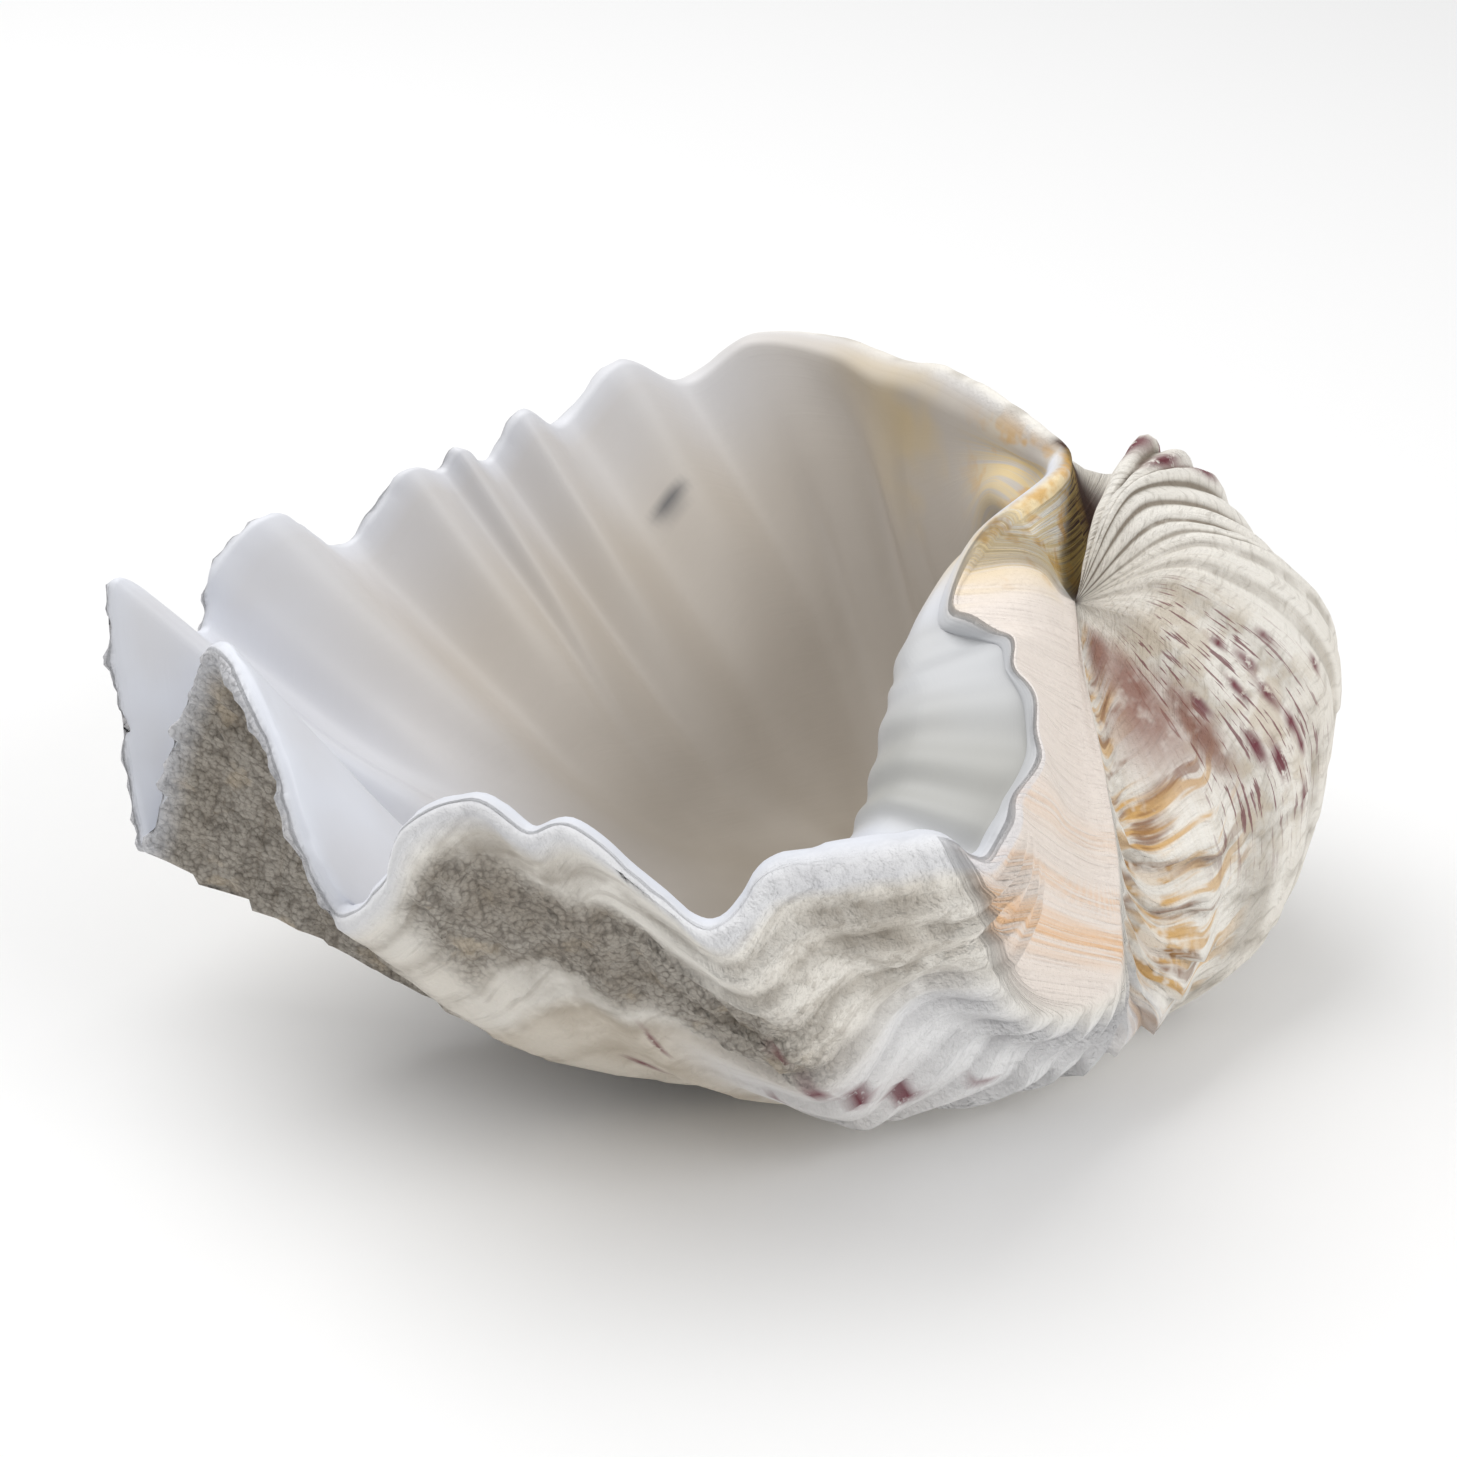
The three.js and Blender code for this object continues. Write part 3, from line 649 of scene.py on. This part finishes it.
def relief(place, points, zone, shape):
    """Fine lumps, in millimetres along the normal: a chalky outside, a nearly smooth inside."""
    lumps = {kind: noise_at(points, *size_and_seed) for kind, size_and_seed in LUMPS.items()}
    lumps["chips"] = np.clip(lumps["chips"], 0, 1)
    zone = zone | {"chalky": zone["outside"] * (1 - LUNULE_SMOOTHNESS * zone["lunule"])}
    lift = sum(zone[name] * lumps[kind] * height for name, kind, height in RELIEF)
    lift += zone["flap"] * FLAP_FOLD * np.cos(2 * math.pi * (place - SCALLOP_FIRST))
    return lift * shape.roughness_of_skin


def linear(hex_colour):
    """An sRGB hex colour as a linear one."""
    parts = [int(hex_colour[i:i + 2], 16) / 255 for i in (1, 3, 5)]
    return tuple(p / 12.92 if p <= 0.04045 else ((p + 0.055) / 1.055) ** 2.4 for p in parts)


def colour(name, hex_colour, description):
    return bpy.props.FloatVectorProperty(
        name=name, description=description, subtype="COLOR", size=3, min=0, max=1, default=linear(hex_colour)
    )


class ValveShape(bpy.types.PropertyGroup):
    """Sizes of the valve's relief."""

    rib_height: bpy.props.FloatProperty(
        name="Rib height", description="How far a rib stands out", default=3 * MM, min=0, unit="LENGTH")
    ledge_height: bpy.props.FloatProperty(
        name="Ledge height", description="Step at the end of a growth ledge", default=1.1 * MM, min=0, unit="LENGTH")
    roughness_of_skin: bpy.props.FloatProperty(
        name="Roughness of skin", description="Share of the fine lumps", default=1, min=0, max=2, subtype="FACTOR")


class ValveColours(bpy.types.PropertyGroup):
    """Colours of the valve."""

    chalk: colour("Chalk", "#ece8e0", "Worn chalky outside")
    porcelain: colour("Porcelain", "#dfe2ea", "Smooth skin near the rim")
    warm: colour("Warm porcelain", "#c7bfb5", "Smooth inside of the far wall")
    # Darker than the far wall: partly the floor's own warmer tone, partly painted shade in the deep hollow of the bowl.
    deep_tone_and_shade: colour("Deep porcelain", "#9b9183", "Smooth floor of the bowl")
    lichen: colour("Grey green", "#a6a59e", "Worn patches inside the flap")
    # Grime in the growth lines, on the rough band and the knuckle, and in the darker furrows between ribs; also painted
    # shade at the foot of each growth step.
    grime_and_shade: colour("Grime", "#7e7262", "Dirt in furrows and pits")
    # Dark grains on the rough band, and painted shade in the gaps between its grains.
    soil_and_shade: colour("Soil", "#5d554b", "Deepest pits")
    sand: colour("Sand", "#c4b49c", "Weathered outside")
    blush: colour("Blush", "#ecdfd6", "Lunule")
    peach: colour("Peach", "#e8bd92", "Growth bands of the lunule")
    yellow: colour("Yellow", "#e6c778", "Stains along the hinge")
    amber: colour("Amber", "#cf9e4a", "Growth stripes of the flank and stains at the hinge")
    rust: colour("Rust", "#7f5330", "Stain beside the keel")
    russet: colour("Russet", "#7f4a39", "Worn patches near the beak")
    maroon: colour("Maroon", "#6d2f3a", "Flecks")
    slate: colour("Slate", "#55565a", "Mark inside the bowl")
    ligament: colour("Ligament", "#4a2f22", "Dry ligament in the slit")


def add(tree, kind, inputs=None, **settings):
    """Adds a node with its settings, and links or sets its inputs."""
    made = tree.nodes.new(kind)
    for name, value in settings.items():
        setattr(made, name, value)
    for key, value in (inputs or {}).items():
        if isinstance(value, bpy.types.NodeSocket):
            tree.links.new(value, made.inputs[key])
        else:
            made.inputs[key].default_value = value
    return made


def shell_material(colours):
    """Aragonite shell, grown in layers and worn by the sea."""
    # To the eye it is chalky and dull outside, with growth lines, and smooth and satin like bisque porcelain inside.
    material = bpy.data.materials.new("aragonite shell")
    material.use_nodes = True
    tree = material.node_tree
    tree.nodes.clear()
    place = add(tree, "ShaderNodeTexCoord").outputs["Object"]
    growth = add(tree, "ShaderNodeUVMap", uv_map="growth").outputs["UV"]

    # Clouds and lumps, by their size in millimetres. Real grit is about 0.3 mm, too fine to show, and is drawn coarser.
    patterns = {}
    for name, size, rough in (("clouds", 34, 0.5), ("blots", 9, 0.6), ("grit", 3.5, 0.7), ("grains", 1.7, 0.65)):
        settings = {"Vector": place, "Scale": 1 / (size * MM), "Detail": 3, "Roughness": rough}
        patterns[name] = add(tree, "ShaderNodeTexNoise", settings).outputs["Fac"]

    grains = {"Vector": place, "Scale": 1 / (1.2 * MM), "Randomness": 1}
    patterns["gaps"] = add(tree, "ShaderNodeTexVoronoi", grains, feature="F1").outputs["Distance"]

    # Growth marks, by their length along the rim and their width towards it in millimetres. Rays run to the rim.
    for name, length, width in (
        ("lines", 35, 1.4), ("stripes", 65, 4), ("between", 50, 4.6), ("rays", 2.7, 70), ("specks", 5, 9),
    ):
        scale = (RIM_LENGTH / length, WAY_TO_RIM / width, 1)
        drawn_out = add(tree, "ShaderNodeMapping", {"Vector": growth, "Scale": scale}).outputs["Vector"]
        patterns[name] = add(tree, "ShaderNodeTexNoise", {"Vector": drawn_out, "Scale": 1, "Detail": 3}).outputs["Fac"]

    # Each layer lies where its zone does, as strong as its pattern between two levels, or even where it has none.
    layers = (
        ("outside", "clouds", 0.45, 0.75, 0.22, colours.sand),
        ("outside", "lines", 0.52, 0.72, 0.3, colours.grime_and_shade),
        ("furrow", "blots", 0.25, 0.6, 0.4, colours.grime_and_shade),
        ("flank", "rays", 0.45, 0.7, 0.2, colours.sand),
        ("stripes", "stripes", 0.52, 0.6, 0.65, colours.amber),
        ("stripes", "between", 0.57, 0.64, 0.6, colours.rust),
        ("speckle", "blots", 0.45, 0.6, 0.5, colours.sand),
        ("speckle", "specks", 0.57, 0.63, 0.8, colours.maroon),
        ("umbo_furrow", "blots", 0.15, 0.45, 0.85, colours.grime_and_shade),
        # Painted shade: a dark line at the foot of each growth step, where the step would cast its shade.
        ("ledge_foot_shade", "blots", 0.25, 0.6, 0.5, colours.grime_and_shade),
        ("cream", None, 0, 1, 0.45, colours.sand),
        ("rough", None, 0, 1, 0.6, colours.grime_and_shade),
        # Painted shade in the gaps between the rough band's grains, which the bump also sinks.
        ("rough", "gaps", 0.45, 0.8, 0.5, colours.soil_and_shade),
        ("rough", "grit", 0.5, 0.62, 0.35, colours.soil_and_shade),
        ("rough", "blots", 0.55, 0.7, 0.5, colours.sand),
        ("knuckle", "grit", 0.48, 0.65, 0.3, colours.grime_and_shade),
        ("terrace", None, 0, 1, 0.5, colours.porcelain),
        ("lunule", None, 0, 1, 0.7, colours.blush),
        ("bands", "lines", 0.3, 0.6, 1, colours.peach),
        ("stain", "stripes", 0.44, 0.58, 0.6, colours.amber),
        ("stain", "between", 0.5, 0.6, 0.65, colours.rust),
        ("stain", "blots", 0.48, 0.58, 0.7, colours.chalk),
        ("patch", "blots", 0.25, 0.5, 0.85, colours.russet),
        ("keel", None, 0, 1, 1, colours.chalk),
        ("flecks", "grit", 0.3, 0.45, 1, colours.maroon),
        ("slit", None, 0, 1, 1, colours.ligament),
        ("inside", None, 0, 1, 1, colours.porcelain),
        ("far_wall", None, 0, 1, 1, colours.warm),
        # Partly painted shade: the floor of the bowl is darker than its walls.
        ("floor", None, 0, 1, 1, colours.deep_tone_and_shade),
        ("inside", "clouds", 0.4, 0.7, 0.25, colours.warm),
        ("flap", None, 0, 1, 0.85, colours.lichen),
        ("mark", None, 0, 1, 0.85, colours.slate),
        ("hinge", "clouds", 0.42, 0.62, 0.45, colours.yellow),
        ("hinge_rim", "between", 0.4, 0.58, 0.6, colours.yellow),
        ("hinge_rim", "blots", 0.5, 0.62, 0.7, colours.amber),
        ("edge", None, 0, 1, 0.6, colours.porcelain),
    )
    skin = (*colours.chalk, 1)
    for zone, pattern, low, high, amount, above in layers:
        mask = add(tree, "ShaderNodeAttribute", attribute_name=zone).outputs["Fac"]
        strength = amount
        if pattern:
            levels = {"Value": patterns[pattern], "From Min": low, "From Max": high, "To Max": amount}
            strength = add(tree, "ShaderNodeMapRange", levels, interpolation_type="SMOOTHSTEP").outputs["Result"]
        mask = add(tree, "ShaderNodeMath", {0: mask, 1: strength}, operation="MULTIPLY").outputs[0]
        skin = add(tree, "ShaderNodeMix", {0: mask, 6: skin, 7: (*above, 1)}, data_type="RGBA").outputs[2]

    # The relief that is finer than the mesh, in millimetres, by the zone that it lies on.
    height = 0
    for zone, pattern, size in (
        ("outside", "lines", 0.8), ("outside", "grains", 0.6), ("outside", "rays", 0.25), ("inside", "lines", 0.04),
        ("rough", "grit", 1.4), ("rough", "gaps", -0.9), ("knuckle", "grit", 1.2),
    ):
        mask = add(tree, "ShaderNodeAttribute", attribute_name=zone).outputs["Fac"]
        bumps = {0: patterns[pattern], 1: size * MM}
        raised = add(tree, "ShaderNodeMath", bumps, operation="MULTIPLY").outputs[0]
        total = {0: mask, 1: raised, 2: height}
        height = add(tree, "ShaderNodeMath", total, operation="MULTIPLY_ADD").outputs[0]
    bump = add(tree, "ShaderNodeBump", {"Strength": 1, "Distance": 1, "Height": height}).outputs["Normal"]

    glossy = add(tree, "ShaderNodeAttribute", attribute_name="glossy").outputs["Fac"]
    gloss = {"Value": glossy, "To Min": CHALK_ROUGHNESS, "To Max": PORCELAIN_ROUGHNESS}
    roughness = add(tree, "ShaderNodeMapRange", gloss).outputs["Result"]
    finish = {"Base Color": skin, "Roughness": roughness, "IOR": 1.53, "Normal": bump}
    shader = add(tree, "ShaderNodeBsdfPrincipled", finish)
    add(tree, "ShaderNodeOutputMaterial", {"Surface": shader.outputs["BSDF"]})
    return material


class CLAM_OT_valve(bpy.types.Operator):
    """Models the valve, with its folds, ribs, ledges and worn skin."""

    bl_idname = "clam.valve"
    bl_label = "Valve"

    def execute(self, context):
        shape, colours = context.scene.clam_shape, context.scene.clam_colours
        bpy.ops.object.select_all(action="DESELECT")
        bpy.ops.mesh.primitive_uv_sphere_add(segments=MERIDIANS, ring_count=PARALLELS, radius=1)
        valve = context.object
        valve.name = valve.data.name = "giant_clam_valve"
        mesh = valve.data
        count = len(mesh.vertices)
        ball = np.empty(count * 3)
        mesh.vertices.foreach_get("co", ball)
        ball = ball.reshape(-1, 3)
        turn = np.mod(np.arctan2(ball[:, 1], ball[:, 0]) / (2 * math.pi), 1)
        turn = np.round(turn * MERIDIANS) % MERIDIANS / MERIDIANS
        row = np.round(np.arccos(np.clip(ball[:, 2], -1, 1)) / math.pi * PARALLELS)
        place = place_of_turn(turn)

        is_outer = row <= OUTER_PARALLELS
        is_lip = (row > OUTER_PARALLELS) & (row <= OUTER_PARALLELS + LIP_PARALLELS)
        age = np.where(is_outer, growth_rows()[np.minimum(row, OUTER_PARALLELS).astype(int)], 1)
        inner_rows = PARALLELS - OUTER_PARALLELS - LIP_PARALLELS - 1
        is_inner = ~is_outer & ~is_lip
        age = np.where(is_inner, (PARALLELS - row) / inner_rows, age)
        angle = np.where(is_lip, (row - OUTER_PARALLELS) / (LIP_PARALLELS + 1) * math.pi, 0)
        points = np.empty((count, 3))
        points[is_outer] = outer_points(place[is_outer], age[is_outer], shape)
        points[is_inner] = inner_points(place[is_inner], age[is_inner], shape)
        points[is_lip] = lip_points(place[is_lip], angle[is_lip], shape)
        inside = np.where(is_inner, 1, np.where(is_lip, smooth(angle / math.pi, *LIP_TURNS_INSIDE), 0))

        zone = zones(place, age, inside, points)
        mesh.vertices.foreach_set("co", points.ravel())
        mesh.update()
        normals = np.empty(count * 3)
        mesh.vertex_normals.foreach_get("vector", normals)
        points = points + normals.reshape(-1, 3) * relief(place, points, zone, shape)[:, None]
        points = points + np.array(SETTLED_BY)
        points[:, 2] = np.maximum(points[:, 2], 0)
        mesh.vertices.foreach_set("co", (points * MM).ravel())
        mesh.update()
        while mesh.uv_layers:
            mesh.uv_layers.remove(mesh.uv_layers[0])
        seam_coordinates(mesh, place, zone.pop("age"))
        for name, values in zone.items():
            paint(mesh, name, values)
        bpy.ops.object.shade_smooth()
        mesh.materials.append(shell_material(colours))
        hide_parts("valve")
        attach(valve, "root")
        return {"FINISHED"}


class CLAM_OT_stage(bpy.types.Operator):
    """Lays the floor, hangs the lights and sets up the camera."""

    bl_idname = "clam.stage"
    bl_label = "Stage"

    def execute(self, context):
        bpy.ops.object.select_all(action="DESELECT")
        bpy.ops.mesh.primitive_plane_add(size=FLOOR_SIZE)
        floor = context.object
        floor.name = "floor"

        # Matt white paper, which looks evenly white and takes soft shadows.
        paper = bpy.data.materials.new("matt white paper")
        paper.use_nodes = True
        finish = paper.node_tree.nodes["Principled BSDF"].inputs
        finish["Base Color"].default_value = (PAPER_WHITE, PAPER_WHITE, PAPER_WHITE, 1)
        finish["Roughness"].default_value = PAPER_ROUGHNESS
        floor.data.materials.append(paper)

        world = bpy.data.worlds.new("studio")
        world.use_nodes = True
        background = world.node_tree.nodes["Background"].inputs
        background["Color"].default_value = (1, 1, 1, 1)
        background["Strength"].default_value = ROOM_LIGHT
        context.scene.world = world
        for name, place, size, power in SOFTBOXES:
            bpy.ops.object.light_add(type="AREA", location=place)
            lamp = context.object
            lamp.name = name
            lamp.data.size = size
            lamp.data.energy = power
            lamp.rotation_euler = (Vector(LIT_POINT) - Vector(place)).to_track_quat("-Z", "Y").to_euler()

        target = (Vector(CAMERA_TARGET) + Vector(SETTLED_BY)) * MM
        stand = target + Vector((0, -math.cos(CAMERA_RISE), math.sin(CAMERA_RISE))) * CAMERA_WAY
        bpy.ops.object.camera_add(location=stand)
        camera = context.object
        camera.rotation_euler = (target - stand).to_track_quat("-Z", "Y").to_euler()
        camera.data.sensor_width = SENSOR_WIDTH
        camera.data.lens = FOCAL_LENGTH / PHOTO_WIDTH * SENSOR_WIDTH
        camera.data.clip_start = 0.01
        context.scene.camera = camera
        context.scene.view_settings.view_transform = "Standard"
        return {"FINISHED"}


class CLAM_PT_panel(bpy.types.Panel):
    """Lists the sizes and colours and the steps of the shell."""

    bl_idname = "CLAM_PT_panel"
    bl_label = "Giant clam valve"
    bl_space_type = "VIEW_3D"
    bl_region_type = "UI"
    bl_category = "Clam"

    def draw(self, context):
        for group in (context.scene.clam_shape, context.scene.clam_colours):
            for name in group.bl_rna.properties.keys():
                if name not in {"rna_type", "name"}:
                    self.layout.prop(group, name)
        self.layout.operator("clam.valve")
        self.layout.operator("clam.stage")


CLASSES = (ValveShape, ValveColours, CLAM_OT_valve, CLAM_OT_stage, CLAM_PT_panel)


def register():
    for made in CLASSES:
        bpy.utils.register_class(made)
    bpy.types.Scene.clam_shape = bpy.props.PointerProperty(type=ValveShape)
    bpy.types.Scene.clam_colours = bpy.props.PointerProperty(type=ValveColours)


def unregister():
    del bpy.types.Scene.clam_colours
    del bpy.types.Scene.clam_shape
    for made in reversed(CLASSES):
        bpy.utils.unregister_class(made)


def main():
    register()
    bpy.ops.clam.valve()
    bpy.ops.clam.stage()


if __name__ == "__main__":
    main()
